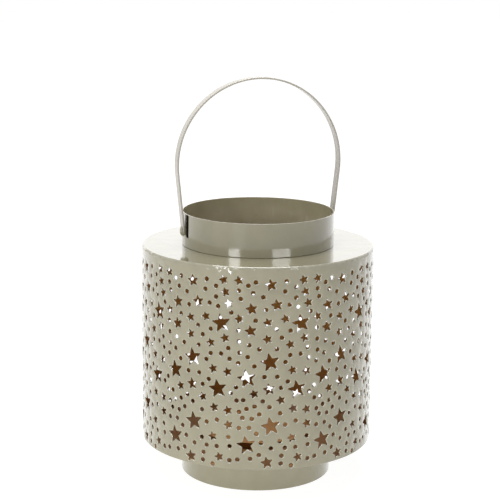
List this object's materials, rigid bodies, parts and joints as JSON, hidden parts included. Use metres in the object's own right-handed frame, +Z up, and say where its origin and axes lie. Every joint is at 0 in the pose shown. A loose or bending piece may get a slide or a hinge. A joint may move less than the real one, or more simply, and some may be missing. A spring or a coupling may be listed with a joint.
{
  "type": "punched tin lantern",
  "caption": "Round punched tin candle lantern with star and dot holes, a plain collar and foot, and a strap bail that swings on rivets.",
  "frame": {"origin": "centre of the foot ring's lower edge, on the surface that the lantern stands on", "axes": "+Z up along the drum's axis, +X along the bail's pivot axis, seams of the rolled sheets towards +Y"},
  "size_m": [0.1802, 0.1802, 0.3101],
  "materials": {
    "painted_tin": "glossy grey-green paint",
    "bronzed_tin": "dark copper-brown paint"
  },
  "bodies": {
    "lantern": {"body_shell": "painted_tin", "shoulder_plate": "painted_tin", "shoulder_bead": "painted_tin", "neck_collar": "painted_tin", "collar_tacks": "painted_tin", "base_plate": "bronzed_tin", "candle_pan": "bronzed_tin", "foot_ring": "painted_tin", "foot_tacks": "painted_tin", "rivet_left": "painted_tin", "rivet_right": "painted_tin", "spacer_left": "painted_tin", "spacer_right": "painted_tin"},
    "bail": {"bail_handle": "painted_tin"}
  },
  "joints": [
    {"name": "bail_swing", "type": "hinge", "parent": "lantern", "child": "bail", "pos_m": [0, 0, 0.194], "axis": [1, 0, 0], "range_deg": [-95, 95]}
  ]
}
